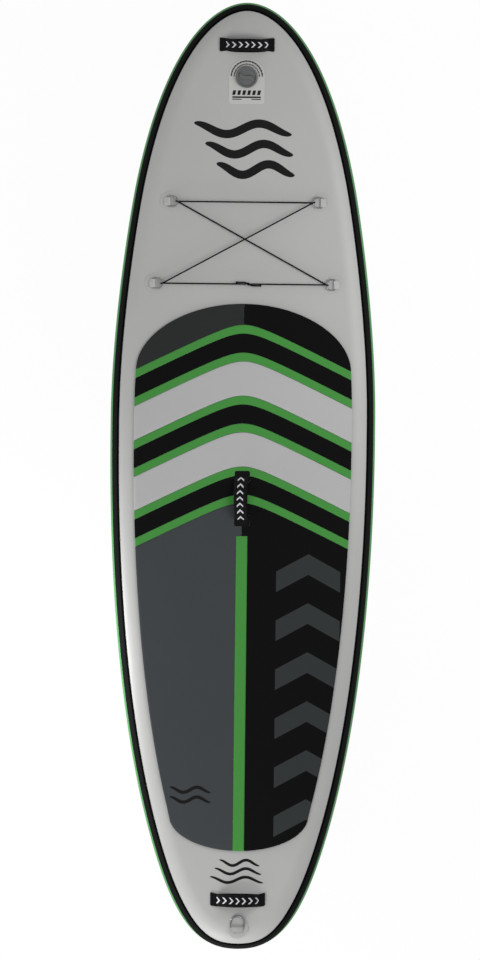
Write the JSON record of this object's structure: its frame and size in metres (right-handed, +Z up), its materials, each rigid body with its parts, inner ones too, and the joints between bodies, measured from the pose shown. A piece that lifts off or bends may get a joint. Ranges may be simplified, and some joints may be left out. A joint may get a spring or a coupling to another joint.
{
  "type": "inflatable stand-up paddle board",
  "caption": "Inflatable stand-up paddle board with a deck pad, carry handles, inflation valve, bungee cargo net, leash ring and a slide-in fin.",
  "frame": {"origin": "below the middle of the board, level with the tip of the centre fin", "axes": "+Y to the nose, +Z up from the deck, +X to the right of a rider who looks at the nose"},
  "size_m": [0.811, 2.896, 0.4756],
  "materials": {
    "deck_grey": "satin coated fabric",
    "rail_green": "satin coated fabric",
    "tape_black": "satin coated fabric",
    "pad_black": "closed-cell foam, brushed and grooved",
    "pad_dark_grey": "closed-cell foam, brushed and grooved",
    "pad_light_grey": "closed-cell foam, brushed and grooved",
    "pad_green": "closed-cell foam, brushed and grooved",
    "webbing_black": "woven webbing",
    "valve_grey": "moulded",
    "label_pale": "smooth",
    "steel": "polished stainless",
    "rubber": "moulded",
    "core_white": "woven",
    "fin_black": "moulded"
  },
  "bodies": {
    "board": {"deck_skin": "deck_grey", "bottom_skin": "deck_grey", "side_wall": "rail_green", "deck_seam_tape": "tape_black", "bottom_seam_tape": "tape_black", "deck_inner_tape": "deck_grey", "bottom_inner_tape": "deck_grey", "drop_stitch_core": "core_white", "pad_front_left": "pad_dark_grey", "pad_front_right": "pad_black", "pad_chevron_front": "pad_black", "pad_grey_front": "pad_light_grey", "pad_chevron_middle": "pad_black", "pad_grey_rear": "pad_light_grey", "pad_chevron_rear": "pad_black", "pad_panel_left": "pad_dark_grey", "pad_panel_right": "pad_black", "pad_centre_line": "pad_green", "nose_handle_strap": "webbing_black", "nose_handle_grip": "webbing_black", "nose_handle_patch_a": "deck_grey", "nose_handle_patch_b": "deck_grey", "middle_handle_strap": "webbing_black", "middle_handle_grip": "webbing_black", "middle_handle_patch_a": "tape_black", "middle_handle_patch_b": "tape_black", "tail_handle_strap": "webbing_black", "tail_handle_grip": "webbing_black", "tail_handle_patch_a": "deck_grey", "tail_handle_patch_b": "deck_grey", "valve_label": "label_pale", "valve_seal": "rubber", "valve_body": "valve_grey", "valve_nut": "valve_grey", "valve_spring": "steel", "cargo_upper_left_loop": "deck_grey", "cargo_upper_left_patch": "deck_grey", "cargo_upper_right_loop": "deck_grey", "cargo_upper_right_patch": "deck_grey", "cargo_lower_left_loop": "deck_grey", "cargo_lower_left_patch": "deck_grey", "cargo_lower_right_loop": "deck_grey", "cargo_lower_right_patch": "deck_grey", "cargo_cord": "webbing_black", "leash_loop": "deck_grey", "leash_patch": "deck_grey", "fin_box": "fin_black", "fin_box_patch": "tape_black", "side_fin_left": "fin_black", "side_fin_right": "fin_black"},
    "upper_left_ring": {"cargo_upper_left_ring": "steel"},
    "upper_right_ring": {"cargo_upper_right_ring": "steel"},
    "lower_left_ring": {"cargo_lower_left_ring": "steel"},
    "lower_right_ring": {"cargo_lower_right_ring": "steel"},
    "leash_ring": {"leash_ring": "steel"},
    "valve_cap": {"valve_cap": "valve_grey"},
    "valve_stem": {"valve_stem": "rubber"},
    "fin": {"centre_fin": "fin_black"},
    "fin_clip": {"fin_clip": "valve_grey"}
  },
  "joints": [
    {"name": "upper_left_ring_lift", "type": "hinge", "parent": "board", "child": "upper_left_ring", "pos_m": [-0.23328, 0.83852, 0.37831], "axis": [0, -0.9958, -0.0916], "range_deg": [0, 80], "deforming": ["cargo_cord"]},
    {"name": "upper_right_ring_lift", "type": "hinge", "parent": "board", "child": "upper_right_ring", "pos_m": [0.23328, 0.83852, 0.37831], "axis": [0, 0.9958, 0.0916], "range_deg": [0, 80], "deforming": ["cargo_cord"]},
    {"name": "lower_left_ring_lift", "type": "hinge", "parent": "board", "child": "lower_left_ring", "pos_m": [-0.27678, 0.58779, 0.36181], "axis": [0, -0.9992, -0.0396], "range_deg": [0, 80], "deforming": ["cargo_cord"]},
    {"name": "lower_right_ring_lift", "type": "hinge", "parent": "board", "child": "lower_right_ring", "pos_m": [0.27678, 0.58779, 0.36181], "axis": [0, 0.9992, 0.0396], "range_deg": [0, 80], "deforming": ["cargo_cord"]},
    {"name": "leash_ring_lift", "type": "hinge", "parent": "board", "child": "leash_ring", "pos_m": [0, -1.38239, 0.37459], "axis": [1, 0, 0], "range_deg": [0, 170]},
    {"name": "cap_turn", "type": "hinge", "parent": "board", "child": "valve_cap", "pos_m": [0, 1.221, 0.42345], "axis": [0, -0.1692, 0.9856], "range_deg": [0, 90]},
    {"name": "valve_push", "type": "slide", "parent": "board", "child": "valve_stem", "axis": [0, 0.1692, -0.9856], "range_m": [0, 0.005], "stiffness_N_per_m": 400, "springref_m": -0.006, "deforming": ["valve_spring"]},
    {"name": "fin_slide", "type": "slide", "parent": "board", "child": "fin", "axis": [0, -1, 0], "range_m": [0, 0.2]},
    {"name": "clip_slide", "type": "slide", "parent": "fin", "child": "fin_clip", "axis": [0, -1, 0], "range_m": [0, 0.035]}
  ]
}
